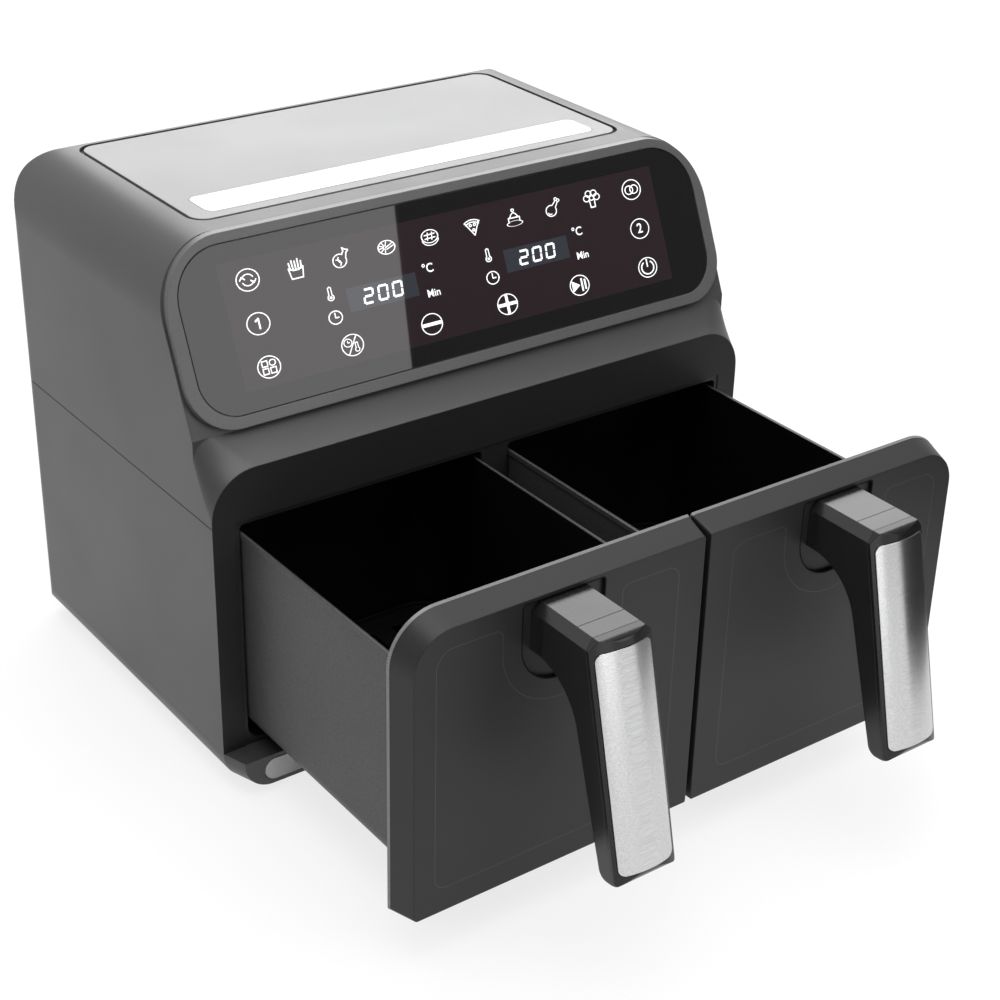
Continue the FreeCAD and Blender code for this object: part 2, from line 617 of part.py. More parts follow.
pan = drawn_box(0, PAN_LOW, PAN_HIGH, PAN_FLOOR_R)
rim = prism(plan(-PAN_OUT - RIM_OUT, -PAN_IN + RIM_OUT, pan_y0, pan_y1 + RIM_OUT, PAN_HIGH - RIM_H,
                 PAN_R + RIM_OUT), V(0, 0, RIM_H))
pan = pan.fuse(rim).cut(drawn_box(PAN_T, PAN_LOW + PAN_T, PAN_HIGH + 30, PAN_FLOOR_R - PAN_T))
twin("pan", pan.removeSplitter(), PAN_X)

# Crisper tray: slotted plate with a low lip, on four soft corner pads.
t0 = PAN_T + TRAY_GAP
tray_box = [-PAN_OUT + t0, -PAN_IN - t0, pan_y0 + t0, pan_y1 - t0]
tray = prism(plan(*tray_box, TRAY_Z, PAN_R - t0), V(0, 0, TRAY_T + 3.0))
inner = [tray_box[0] + 1.4, tray_box[1] - 1.4, tray_box[2] + 1.4, tray_box[3] - 1.4]
tray = tray.cut(prism(plan(*inner, TRAY_Z + TRAY_T, PAN_R - t0 - 1.4), V(0, 0, 10)))
slots = []
mid_y = (pan_y0 + pan_y1) / 2
for i in range(7):
    for j in range(6):
        sx = -PAN_X + (i - 3) * 19.0
        sy = mid_y + (j - 2.5) * 32.0
        slots.append(prism(plan(sx - 3, sx + 3, sy - 11, sy + 11, TRAY_Z - 1, 2.9), V(0, 0, 5)))
tray = tray.cut(Part.makeCompound(slots))
twin("crisper_tray", tray, PAN_X)
pads = []
for px in (-PAN_X - 58, -PAN_X + 58):
    for py in (mid_y - 84, mid_y + 84):
        pads.append(rod(px, py, PAN_LOW + PAN_T, TRAY_Z, 6))
twin("tray_pads", Part.makeCompound(pads), PAN_X)

# Handle: arm and leaning grip from one side outline, split into a body and a front cap.
pocket_floor = plate_front + POCKET_D
outline = [(V(0, pocket_floor, ARM_HIGH), 0), (V(0, GRIP_TOP_Y, ARM_HIGH), 4),
           (V(0, GRIP_LOW_Y, GRIP_LOW_Z), 8), (V(0, GRIP_LOW_Y + GRIP_T, GRIP_LOW_Z - 2), 7),
           (V(0, GRIP_TOP_Y + GRIP_T + 1, ARM_LOW), ARM_BEND_R), (V(0, pocket_floor, ARM_LOW), 0)]
hull = prism(outline, V(2 * ARM_HALF, 0, 0))
long_edges = []
for e in hull.Edges:
    flat = abs(e.BoundBox.XMax - e.BoundBox.XMin) < 1e-6
    if flat and e.BoundBox.YMax - e.BoundBox.YMin > 0.01 and e.BoundBox.YMin < pocket_floor - 0.5:
        long_edges.append(e)
hull = hull.makeFillet(GRIP_EDGE_R, long_edges)
hull.translate(V(-POCKET_X - ARM_HALF, 0, 0))
bevel = [(V(-POCKET_X - ARM_HALF, -400, 0), 0), (V(-POCKET_X + ARM_HALF, -400, 0), 0),
         (V(-POCKET_X + ARM_HALF, -400, ARM_HIGH - ARM_CHAMFER), 0),
         (V(-POCKET_X + ARM_HALF - ARM_CHAMFER, -400, ARM_HIGH), 0),
         (V(-POCKET_X - ARM_HALF + ARM_CHAMFER, -400, ARM_HIGH), 0),
         (V(-POCKET_X - ARM_HALF, -400, ARM_HIGH - ARM_CHAMFER), 0)]
hull = hull.common(prism(bevel, V(0, 400, 0)))
down = V(0, GRIP_LOW_Y - GRIP_TOP_Y, GRIP_LOW_Z - ARM_HIGH).normalize()
out = V(0, down.z, -down.y)
top_front = V(-POCKET_X, GRIP_TOP_Y, ARM_HIGH)


def grip_slab(half, start, end, r, back, front):
    # Rounded plate laid on the grip's front: start and end run down the grip.
    a = top_front + down * start + out * back
    b = top_front + down * end + out * back
    points = [(a - V(half, 0, 0), r), (a + V(half, 0, 0), r), (b + V(half, 0, 0), r), (b - V(half, 0, 0), r)]
    return prism(points, out * (front - back))


crown_r = (ARM_HALF ** 2 + CROWN ** 2) / (2 * CROWN)


def crown_bar(half, start, end, back, front):
    # Bar along the grip whose front and back follow the crowned face.
    drop = math.sqrt(crown_r ** 2 - half ** 2) - crown_r
    at = top_front + down * start

    def spot(x, lift):
        return at + V(x, 0, 0) + out * lift

    if back is None:
        rear = [Part.LineSegment(spot(half, -CAP_T), spot(-half, -CAP_T)).toShape()]
        low = -CAP_T
    else:
        rear = [Part.Arc(spot(half, drop + back), spot(0, back), spot(-half, drop + back)).toShape()]
        low = drop + back
    edges = [Part.Arc(spot(-half, drop + front), spot(0, front), spot(half, drop + front)).toShape(),
             Part.LineSegment(spot(half, drop + front), spot(half, low)).toShape()] + rear
    edges.append(Part.LineSegment(spot(-half, low), spot(-half, drop + front)).toShape())
    return Part.Face(Part.Wire(edges)).extrude(down * (end - start))


grip_len = (V(0, GRIP_LOW_Y, GRIP_LOW_Z) - V(0, GRIP_TOP_Y, ARM_HIGH)).Length
front_half = grip_slab(ARM_HALF + 5, -30, grip_len + 30, 0, -CAP_T, 20)
cap = hull.common(crown_bar(ARM_HALF, -30, grip_len + 30, None, 0))
twin("handle_arm", hull.cut(front_half), POCKET_X)
strip_range = (6.0, grip_len - 7.0)
room = crown_bar(STRIP_HALF + 0.3, strip_range[0] - 0.3, strip_range[1] + 0.3, -STRIP_T, 6)
cap = cap.cut(room.common(grip_slab(STRIP_HALF + 0.3, strip_range[0] - 0.3, strip_range[1] + 0.3, 4.3, -20, 20)))
twin("handle_cap", cap, POCKET_X)
strip = crown_bar(STRIP_HALF, strip_range[0], strip_range[1], -STRIP_T, STRIP_PROUD)
strip = strip.common(grip_slab(STRIP_HALF, strip_range[0], strip_range[1], 4.0, -20, 20))
twin("grip_strip", strip, POCKET_X)

# Centre the whole part in depth with the feet on the ground, then write every piece.
boxes = [s.optimalBoundingBox(False) for s in nodes.values()]
y_low = min(b.YMin for b in boxes)
y_high = max(b.YMax for b in boxes)
shift = V(0, -(y_low + y_high) / 2, 0)
os.makedirs("parts", exist_ok=True)
for name, shape in nodes.items():
    shape.translate(shift)
    shape.exportStep("parts/" + name + ".step")
    kinds = (shape.isValid(), len(shape.Solids))
    print(name, kinds, round(shape.Volume / 1000.0, 2))
print("shift", round(shift.y, 4), "y", round(y_low, 3), round(y_high, 3))
print("bounds", [round(v, 3) for v in (min(b.XMin for b in boxes), max(b.XMax for b in boxes),
                                       min(b.ZMin for b in boxes), max(b.ZMax for b in boxes))])
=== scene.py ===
import math
import bmesh
import bpy
from mathutils import Matrix, Quaternion, Vector


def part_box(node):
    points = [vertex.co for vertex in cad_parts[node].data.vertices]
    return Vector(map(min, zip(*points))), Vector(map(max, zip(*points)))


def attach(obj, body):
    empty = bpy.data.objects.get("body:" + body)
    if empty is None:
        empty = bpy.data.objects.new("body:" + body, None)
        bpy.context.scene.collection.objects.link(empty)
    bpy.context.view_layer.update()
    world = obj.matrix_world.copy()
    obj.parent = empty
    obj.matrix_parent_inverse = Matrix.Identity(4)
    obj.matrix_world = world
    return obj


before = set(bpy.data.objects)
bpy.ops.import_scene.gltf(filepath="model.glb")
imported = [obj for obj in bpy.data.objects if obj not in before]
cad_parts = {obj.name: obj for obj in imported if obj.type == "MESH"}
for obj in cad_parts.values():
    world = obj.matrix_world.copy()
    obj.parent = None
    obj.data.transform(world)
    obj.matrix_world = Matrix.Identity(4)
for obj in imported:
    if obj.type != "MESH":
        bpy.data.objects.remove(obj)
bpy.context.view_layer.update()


# Base and shells: the base, two lower side shells and the upper shell with its flared front.
# All four are moulded in one dark grey plastic with a fine grain. The upper shell stands on the lower ones.
class Socket:
    """A shader socket. Sums, products and comparisons add Math nodes to its tree."""

    def __init__(self, tree, socket=None):
        self.tree = tree
        self.socket = socket

    def link(self, value, target):
        if isinstance(value, Socket):
            self.tree.links.new(value.socket, target)
        else:
            target.default_value = value

    def node(self, kind, out, settings=(), values=(), **inputs):
        """One node: its settings first, then values or links by place or by the socket's name."""
        made = self.tree.nodes.new(kind)
        for key, value in settings:
            if key == "stops":
                for stop, (position, colour) in zip(made.color_ramp.elements, value):
                    stop.position = position
                    stop.color = colour
            else:
                setattr(made, key, value)
        for target, value in zip(made.inputs, values):
            self.link(value, target)
        for key, value in inputs.items():
            self.link(value, made.inputs[key.replace("_", " ")])
        return Socket(self.tree, made.outputs[out])

    def maths(self, operation, first, second):
        return self.node("ShaderNodeMath", "Value", (("operation", operation),), (first, second))

    def axis(self, name):
        return self.node("ShaderNodeSeparateXYZ", name, Vector=self)

    def __add__(self, other):
        return self.maths("ADD", self, other)

    def __radd__(self, other):
        return self.maths("ADD", other, self)

    def __sub__(self, other):
        return self.maths("SUBTRACT", self, other)

    def __rsub__(self, other):
        return self.maths("SUBTRACT", other, self)

    def __mul__(self, other):
        return self.maths("MULTIPLY", self, other)

    def __rmul__(self, other):
        return self.maths("MULTIPLY", other, self)

    def __lt__(self, other):
        return self.maths("LESS_THAN", self, other)

    def __gt__(self, other):
        return self.maths("GREATER_THAN", self, other)

    def __abs__(self):
        return self.maths("ABSOLUTE", self, 0.0)


def finish(name, colour, rough, grain=900.0, bump=0.1, metallic=0.0, coat=0.0, stretch=(1, 1, 1),
           edge=0.0006, spread=0.12, mask=None, glow=0.0, specular=0.5, vary=1.0):
    """Two close tones, uneven gloss and a fine grain, all from noise in the piece's own coordinates."""
    cloud_scale = 14.0
    cloud_gloss = 0.12 * vary
    grain_gloss = 0.08 * vary
    relief_depth = 0.0002
    coat_rough = 0.08
    material = bpy.data.materials.new(name)
    material.use_nodes = True
    shader = material.node_tree.nodes["Principled BSDF"]
    place = Socket(material.node_tree).node("ShaderNodeTexCoord", "Object")
    scaled = place.node("ShaderNodeMapping", "Vector", Vector=place, Scale=stretch)
    fine = place.node("ShaderNodeTexNoise", "Fac", Vector=scaled, Scale=grain, Detail=3.0)
    cloud = place.node("ShaderNodeTexNoise", "Fac", Vector=place, Scale=cloud_scale, Detail=2.0)
    dark = tuple(c * (1.0 - spread) for c in colour) + (1.0,)
    light = tuple(min(1.0, c * (1.0 + spread)) for c in colour) + (1.0,)
    tint = place.node("ShaderNodeValToRGB", "Color", (("stops", ((0.3, dark), (0.7, light))),), Fac=fine)
    if mask is not None:
        tint = mask(place, tint)
    rounded = place.node("ShaderNodeBevel", "Normal", Radius=edge)
    relief = place.node("ShaderNodeBump", "Normal", Height=fine, Strength=bump, Distance=relief_depth,
                        Normal=rounded)
    look = {"Base Color": tint, "Roughness": (cloud - 0.5) * cloud_gloss + (fine - 0.5) * grain_gloss + rough,
            "Normal": relief, "Metallic": metallic, "Coat Weight": coat, "Coat Roughness": coat_rough,
            "Specular IOR Level": specular}
    if glow > 0.0:
        look["Emission Color"] = tint
        look["Emission Strength"] = glow
    for key, value in look.items():
        place.link(value, shader.inputs[key])
    return material


def dress(material, *names):
    for name in names:
        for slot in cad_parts[name].material_slots:
            slot.material = material


housing_grey = finish("housing_grey", (0.046, 0.046, 0.047), rough=0.4, grain=1500.0, bump=0.16,
                      specular=0.46)
dress(housing_grey, "upper_housing", "lower_housing_left", "lower_housing_right", "base_tray")

# Works of each bay: a sheet steel liner with its guard, heater, motor, fans and small electrics.
# The motor stands on a bracket over the liner and turns both fans on one shaft. The heater is a dull steel
# tube, and the small electrics are in black plastic.
sheet = finish("sheet_metal", (0.42, 0.42, 0.43), rough=0.38, bump=0.06, metallic=1.0)
hidden_plastic = finish("inner_plastic", (0.03, 0.03, 0.03), rough=0.5)
tube = finish("heater_tube", (0.16, 0.15, 0.145), rough=0.45, grain=1200.0, metallic=1.0)
case = finish("motor_case", (0.3, 0.3, 0.31), rough=0.4, bump=0.08, metallic=0.8)
sheet_pieces = ("cavity_liner", "heater_guard", "motor_bracket", "rotor_shaft", "drawer_backing", "hot_fan")
plastic_pieces = ("cooling_fan", "thermal_fuse", "drawer_switch")
for side in ("_left", "_right"):
    dress(sheet, *(name + side for name in sheet_pieces))
    dress(hidden_plastic, *(name + side for name in plastic_pieces))
    dress(tube, "heater" + side)
    dress(case, "motor" + side)

# Boards: the power board on standoffs over the liners, and the control board behind the panel.
# Both are green laminate with a dull lacquer.
dress(finish("board_green", (0.03, 0.14, 0.07), rough=0.5, grain=700.0), "control_board", "power_board")

# Front frame: the black plastic lining of the drawer mouth, with the post between the two drawers.
# It is moulded in one piece and set between the lower side shells.
dress(finish("frame_dark", (0.012, 0.012, 0.013), rough=0.5, grain=1200.0), "front_frame")

# Rear cover: a grained plastic cover with air slots, let into the back of the housing.
# Steel screws near its edge hold it.
dress(finish("rear_plastic", (0.05, 0.05, 0.052), rough=0.55, grain=1300.0, bump=0.2), "rear_cover")
screw_steel = finish("screw_steel", (0.4, 0.4, 0.41), rough=0.35, grain=2500.0, bump=0.05, metallic=1.0)
dress(screw_steel, "cover_screws")

# Feet and cord gland: moulded in soft black rubber.
# The feet stand under the base, and the gland sits at the back.
dress(finish("soft_rubber", (0.02, 0.02, 0.02), rough=0.7, bump=0.15), "feet", "cord_gland")

# Chin trim: a narrow light strip along the front of the base.
# It is a thin painted strip that lies flat on the chin.
dress(finish("trim_paint", (0.54, 0.54, 0.55), rough=0.38, grain=1800.0, bump=0.06), "chin_trim")


# Shell joint: the fine gap between the upper shell and the lower ones, along both sides of the housing.
# Each is a narrow dark strip a hair outside the plastic, and it stops where the back corner turns.
def add_object(name, work, material):
    """The object of a finished bmesh, in the scene and at the origin."""
    mesh = bpy.data.meshes.new(name)
    work.to_mesh(mesh)
    work.free()
    mesh.materials.append(material)
    made = bpy.data.objects.new(name, mesh)
    bpy.context.scene.collection.objects.link(made)
    return made


carriers = {"housing": "upper_housing", "left_drawer": "drawer_front_left",
            "right_drawer": "drawer_front_right"}


def piece(name, work, material, body):
    """A new piece that rides on one body. Its faces are turned away from the middle of what carries it."""
    low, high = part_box(carriers[body])
    middle = (Vector(low) + Vector(high)) / 2
    work.normal_update()
    inward = [face for face in work.faces if face.normal.dot(face.calc_center_median() - middle) < 0]
    bmesh.ops.reverse_faces(work, faces=inward)
    made = add_object(name, work, material)
    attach(made, body)
    return made


def flat_strip(length, width, turns, centre):
    """A flat rectangle, turned about the axes in order and put in its place."""
    work = bmesh.new()
    bmesh.ops.create_grid(work, x_segments=1, y_segments=1, size=0.5)
    bmesh.ops.scale(work, verts=work.verts, vec=(length, width, 1.0))
    for angle, axis in turns:
        bmesh.ops.rotate(work, verts=work.verts, matrix=Matrix.Rotation(angle, 3, axis))
    bmesh.ops.translate(work, verts=work.verts, vec=centre)
    return work


quarter = math.pi / 2
seam_tone = finish("seam_shadow", (0.008, 0.008, 0.008), rough=0.6, bump=0.0, edge=0.0, specular=0.1)
seam_width = 0.0006
seam_lift = 0.00005
seam_front_gap = 0.0005
seam_back_gap = 0.0115
shell_low, shell_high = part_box("lower_housing_left")
half_width = -shell_low[0]
seam_start = shell_low[1] + seam_front_gap
seam_end = shell_high[1] - seam_back_gap
for name, way in (("seam_left", -1), ("seam_right", 1)):
    middle = (way * (half_width + seam_lift), (seam_start + seam_end) / 2, shell_high[2])
    seam = flat_strip(seam_end - seam_start, seam_width, ((quarter, "X"), (way * quarter, "Z")), middle)
    piece(name, seam, seam_tone, "housing")

# Mouth face: the near-black surround of the drawer mouth, with two legs and a band with rounded shoulders.
# It is a thin skin on the flat front of the shells, a hair in front of the plastic. Its near-black is partly
# the black tone of the frame and partly painted shade under the flared upper shell.
face_lift = 0.00006
mouth_half = 0.1754
shoulder_high = 0.204
shoulder_radius = 0.028
shoulder_margin = 0.0003
shoulder_steps = 12
face_y = shell_low[1] - face_lift
leg_low, leg_high = shell_low[2], shell_high[2]
mouth = bmesh.new()
for x0, x1 in ((-half_width, -mouth_half), (mouth_half, half_width)):
    leg = ((x0, leg_low), (x1, leg_low), (x1, leg_high), (x0, leg_high))
    mouth.faces.new([mouth.verts.new((x, face_y, z)) for x, z in leg])
band = [(-half_width, leg_high), (half_width, leg_high)]
for way, start in ((1, 0.0), (-1, quarter)):
    for k in range(shoulder_steps + 1):
        angle = start + quarter * k / shoulder_steps
        reach = shoulder_radius - shoulder_margin
        band.append((way * (half_width - shoulder_radius) + reach * math.cos(angle),
                     shoulder_high - shoulder_radius + reach * math.sin(angle)))
mouth.faces.new([mouth.verts.new((x, face_y, z)) for x, z in band])
# Painted shade: the skin is much darker than the grey shells, for the shade under the flared upper shell.
mouth_black_and_shade = finish("mouth_black_and_shade", (0.02, 0.02, 0.0205), rough=0.5, grain=1300.0, edge=0.0, specular=0.2)
piece("mouth_face", mouth, mouth_black_and_shade, "housing")

# Top panel and label: a satin grey plate inside the groove of the housing's top, moulded with a fine grain.
# A blank pale plate with a smooth face is let into it near the front.
dress(finish("top_grey", (0.2, 0.2, 0.203), rough=0.42, grain=1500.0, bump=0.12, specular=0.45), "top_panel")
dress(finish("label_white", (0.5, 0.5, 0.5), rough=0.25, grain=700.0, bump=0.02, coat=0.1), "top_label")

# Control panel: a satin plastic rim around a sheet of black glass, on the slope over the drawers.
# The printed film and the number displays lie behind the glass. The print shows through it as a window
# of a slightly warmer black.
window_x, window_half_x = -0.0016, 0.1519
window_z, window_half_z = 0.2699, 0.0324
window_black = (0.021, 0.0125, 0.0148, 1.0)


def printed_window(place, tint):
    across = abs(place.axis("X") - window_x) < window_half_x
    up = abs(place.axis("Z") - window_z) < window_half_z
    return place.node("ShaderNodeMixRGB", "Color", Fac=across * up, Color1=tint, Color2=window_black)


dress(finish("bezel_satin", (0.085, 0.085, 0.087), rough=0.36, grain=1500.0, bump=0.08), "panel_bezel")
black_glass = finish("black_glass", (0.006, 0.006, 0.0065), rough=0.015, grain=60.0, bump=0.0, spread=0.05,
                     mask=printed_window, edge=0.0, vary=0.1)
dress(black_glass, "panel_glass")
dress(finish("film_print", (0.015, 0.009, 0.011), rough=0.3, grain=800.0, bump=0.02), "display_film")
dress(finish("led_block", (0.3, 0.32, 0.36), rough=0.4, grain=800.0, bump=0.02), "led_displays")

# Print on the glass: white rings, signs and lit numbers, a hair in front of the glass. All of it glows a
# little. On the numbers the glow stands for the lit display, and on the rings and signs it is a painted glow.
# It is laid out in mm, across from the middle and up the slope from the foot of the panel, and the signs
# are a little lower than they are wide.
panel_foot_z = 0.221
panel_slope = 0.445
glass_depth = 0.4
print_lift = 0.04
window_lift = 0.015
print_squash = 0.85
fine_line, thin_line, plain_line, firm_line = 0.6, 0.62, 0.7, 0.75
panel_foot = Vector((0.0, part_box("panel_bezel")[0][1], panel_foot_z))
panel_up = Vector((0.0, panel_slope, 1.0)).normalized()
panel_out = Vector((0.0, -panel_up.z, panel_up.y))
marks = bmesh.new()


def on_glass(x, v, lift=print_lift):
    across = Vector((x / 1000.0, 0.0, 0.0))
    return panel_foot + across + panel_up * (v / 1000.0) + panel_out * ((lift - glass_depth) / 1000.0)


def fill(work, points, lift=print_lift):
    work.faces.new([work.verts.new(on_glass(x, v, lift)) for x, v in points])


def stroke(points, width=thin_line, closed=False):
    overrun = 0.6
    chain = list(points) + ([points[0]] if closed else [])
    for (x0, v0), (x1, v1) in zip(chain, chain[1:]):
        run = math.hypot(x1 - x0, v1 - v0)
        ax, av = (x1 - x0) / run * width / 2, (v1 - v0) / run * width / 2
        ex, ev = ax * overrun, av * overrun
        fill(marks, [(x0 - ex - av, v0 - ev + ax), (x0 - ex + av, v0 - ev - ax),
                     (x1 + ex + av, v1 + ev - ax), (x1 + ex - av, v1 + ev + ax)])


def arc(x, v, radius, start=0.0, end=360.0, width=thin_line, squash=print_squash):
    count = max(8, int(abs(end - start) / 9))
    turns = [math.radians(start + (end - start) * k / count) for k in range(count + 1)]
    inner, outer = radius - width / 2, radius + width / 2
    for a, b in zip(turns, turns[1:]):
        fill(marks, [(x + reach * math.cos(angle), v + reach * math.sin(angle) * squash)
                     for angle, reach in ((a, inner), (b, inner), (b, outer), (a, outer))])


def sign(x, v, points, width=thin_line, closed=False):
    stroke([(x + px, v + pv * print_squash) for px, pv in points], width, closed)


def words(text, x, v, size):
    curve = bpy.data.curves.new("sign", "FONT")
    curve.body = text
    curve.size = size
    curve.offset = 0.02 * size - 0.05
    curve.align_x = "CENTER"
    curve.align_y = "CENTER"
    temporary = bpy.data.objects.new("sign", curve)
    bpy.context.scene.collection.objects.link(temporary)
    bpy.context.view_layer.update()
    flat = bpy.data.meshes.new_from_object(temporary.evaluated_get(bpy.context.evaluated_depsgraph_get()))
    corners = [marks.verts.new(on_glass(x + spot.co.x, v + spot.co.y)) for spot in flat.vertices]
    for polygon in flat.polygons:
        marks.faces.new([corners[index] for index in polygon.vertices])
    bpy.data.objects.remove(temporary)
    bpy.data.curves.remove(curve)
    bpy.data.meshes.remove(flat)


def paired_arrows(x, v):
    for way, start in ((1, 20), (-1, 200)):
        arc(x, v, 3.7, start, start + 140, firm_line)
        sign(x, v, [(-5.0 * way, 0.4 * way), (-3.5 * way, 2.4 * way), (-1.8 * way, 0.6 * way)], firm_line)


def linked_rings(x, v):
    for shift in (-1.9, 1.9):
        arc(x + shift, v, 3.0, width=firm_line)


def figure_one(x, v):
    sign(x, v, [(-1.5, 1.8), (0.5, 3.2), (0.5, -3.4)], 1.1)


def figure_two(x, v):
    words("2", x, v, 8.4)


def small_tiles(x, v):
    for dx, dv in ((-2.4, 2.1), (-2.4, -2.1), (2.4, -2.1)):
        sign(x + dx, v + dv, [(-1.7, -1.8), (1.7, -1.8), (1.7, 1.8), (-1.7, 1.8)], plain_line, closed=True)
    arc(x + 2.5, v + 2.1, 1.9, width=plain_line)


def time_or_heat(x, v):
    sign(x, v, [(-3.4, -6.0), (3.4, 6.0)], plain_line)
    arc(x - 2.7, v + 1.7, 2.6, width=fine_line)
    sign(x - 2.7, v + 1.7, [(0.0, 1.4), (0.0, 0.0), (1.2, 0.0)], 0.5)
    arc(x + 2.6, v - 2.9, 1.4, 130, 410, fine_line)
    sign(x + 2.6, v, [(-0.8, -2.4), (-0.8, 1.2), (0.8, 1.2), (0.8, -2.4)], fine_line)


def minus(x, v):
    sign(x, v, [(-6.5, 0), (6.5, 0)], 2.0)


def plus(x, v):
    minus(x, v)
    sign(x, v, [(0, -6.5), (0, 6.5)], 2.0)


def play_and_pause(x, v):
    fill(marks, [(x + px, v + pv * print_squash) for px, pv in ((-5.6, -4.2), (0.5, 0), (-5.6, 4.2))])
    sign(x, v, [(1.9, -4.2), (1.9, 4.2)], 1.3)
    sign(x, v, [(4.3, -3.2), (4.3, 3.2)], 1.3)


def power(x, v):
    arc(x, v, 4.7, 122, 418, 1.0)
    sign(x, v, [(0, 0.8), (0, 5.8)], 1.0)


def chips(x, v):
    box = [(-4.7, 0.8), (-3.6, -6.2), (3.6, -6.2), (4.7, 0.8), (1.8, -0.8), (-1.8, -0.8)]
    sign(x, v, box, firm_line, closed=True)
    for k, tall in enumerate((4.2, 5.6, 5.0, 6.2, 4.4)):
        sign(x + (k - 2) * 1.75, v, [(0.0, -0.2), ((k - 2) * 0.2, tall)], 0.95)


def fowl(x, v):
    arc(x, v - 1.4, 4.4, 55, 372, firm_line)
    leg = [(2.2, 2.6), (3.4, 4.2), (3.0, 6.4), (4.6, 5.2), (6.6, 4.4), (5.0, 2.8), (4.2, -0.6)]
    sign(x, v, leg, firm_line)
    arc(x - 1.8, v - 2.6, 2.4, -50, 110, fine_line)
    arc(x + 1.6, v - 0.6, 2.6, 140, 260, fine_line)


def prawn(x, v):
    arc(x, v, 5.6, width=0.8, squash=0.68)
    sign(x, v, [(-1.0, -0.4), (4.6, 2.6)])
    sign(x, v, [(-0.2, -1.4), (5.2, 0.8)])
    for turn in (75, 115, 150, 185, 225, 265):
        c, s = math.cos(math.radians(turn)), math.sin(math.radians(turn))
        sign(x - 1.0, v, [(1.0 * c, 1.0 * s), (4.6 * c, 3.9 * s)], fine_line)


def steak(x, v):
    arc(x, v + 0.5, 5.6, width=0.8, squash=0.66)
    arc(x, v - 1.0, 5.6, 185, 355, firm_line, squash=0.66)
    for shift in (-1.5, 1.5):
        sign(x + shift, v + 0.5, [(-0.4, -2.5), (0.4, 2.5)], 0.65)
        sign(x, v + 0.5 + shift * 0.7, [(-3.6, -0.2), (3.6, 0.2)], 0.65)


def pizza(x, v):
    sign(x, v, [(-4.6, 2.6), (0.6, -5.8), (4.8, 3.2)], firm_line)
    arc(x + 0.1, v - 3.6, 7.6, 50, 130, firm_line)
    arc(x + 0.1, v - 3.6, 9.2, 52, 128, firm_line)
    for dx, dv in ((-1.3, 1.1), (1.7, 1.2), (0.5, -1.8)):
        arc(x + dx, v + dv, 0.8, width=0.65)


def cake(x, v):
    arc(x, v - 3.6, 5.6, width=firm_line, squash=0.28)
    sign(x, v, [(-4.0, -3.2), (-4.0, -0.2), (4.0, -0.2), (4.0, -3.2)], firm_line)
    sign(x, v, [(-3.0, 0.2), (-1.6, 2.2), (0.0, 3.4), (1.6, 2.2), (3.0, 0.2)], plain_line)
    arc(x, v + 4.2, 0.9, width=plain_line)


def drumstick(x, v):
    arc(x, v - 1.4, 3.8, 65, 385, firm_line)
    sign(x, v, [(1.6, 2.2), (4.4, 5.0)], plain_line)
    sign(x, v, [(3.5, 0.2), (5.8, 3.8)], plain_line)
    arc(x + 4.6, v + 4.9, 0.95)
    arc(x + 6.2, v + 3.9, 0.95)
    arc(x - 0.6, v - 1.8, 1.9, 190, 300, fine_line)


def broccoli(x, v):
    for dx, dv, r in ((-3.8, 0.8, 2.2), (3.8, 0.8, 2.2), (-1.9, 3.3, 2.2), (2.0, 3.2, 2.2), (0, 0.8, 1.8)):
        arc(x + dx, v + dv, r, width=plain_line)
    sign(x, v, [(-1.9, -1.0), (-1.6, -5.8), (1.6, -5.8), (1.9, -1.0)], 0.8)


def thermometer(x, v):
    arc(x, v, 1.9, 125, 415, firm_line)
    stroke([(x - 1.0, v + 1.2), (x - 1.0, v + 5.4), (x, v + 6.0), (x + 1.0, v + 5.4), (x + 1.0, v + 1.2)],
           plain_line)
    arc(x, v, 0.5, width=0.9)


def clock(x, v):
    arc(x, v, 4.3, width=firm_line)
    stroke([(x, v + 2.6), (x, v - 0.2), (x + 2.2, v - 0.2)], firm_line)


top_row, mid_row, low_row = 77.4, 53.0, 28.7
ring_radius = 7.05
for draw, x, v in ((paired_arrows, -136.8, top_row), (linked_rings, 133.0, top_row),
                   (figure_one, -136.7, mid_row), (figure_two, 133.2, mid_row),
                   (small_tiles, -136.5, low_row), (time_or_heat, -82.5, low_row), (minus, -28.4, low_row),
                   (plus, 25.6, low_row), (play_and_pause, 79.6, low_row), (power, 133.0, low_row)):
    arc(x, v, ring_radius, width=plain_line)
    draw(x, v)
for draw, x in ((chips, -106.4), (fowl, -78.2), (prawn, -46.6), (steak, -16.9), (pizza, 13.3), (cake, 43.2),
                (drumstick, 70.8), (broccoli, 102.0)):
    draw(x, top_row)
for x in (-89.0, 19.5):
    thermometer(x, 57.2)
    clock(x, 45.9)
for x in (-23.0, 86.0):
    words("°C", x, 60.2, 7.2)
    words("Min", x + 0.6, 45.8, 6.2)

# Lit numbers: two displays of three figures, each figure made of leaning bars.
# The bars are part of the white print, and a grey window lies behind each display.
bars = {"a": ((-2.2, 3.9), (2.2, 3.9)), "b": ((2.9, 3.4), (2.9, 0.7)), "c": ((2.9, -0.7), (2.9, -3.4)),
        "d": ((-2.2, -3.9), (2.2, -3.9)), "e": ((-2.9, -0.7), (-2.9, -3.4)), "f": ((-2.9, 3.4), (-2.9, 0.7)),
        "g": ((-2.0, 0.0), (2.0, 0.0))}
figure_two_bars, figure_zero_bars = "abged", "abcdef"
figure_step = 9.8
figure_lean = 0.1
figure_v = 53.2
bar_width = 1.35
for x in (-55.3, 54.0):
    for k, lit in enumerate((figure_two_bars, figure_zero_bars, figure_zero_bars)):
        middle = x + (k - 1) * figure_step
        for bar in lit:
            stroke([(middle + px + pv * figure_lean, figure_v + pv) for px, pv in bars[bar]], bar_width)
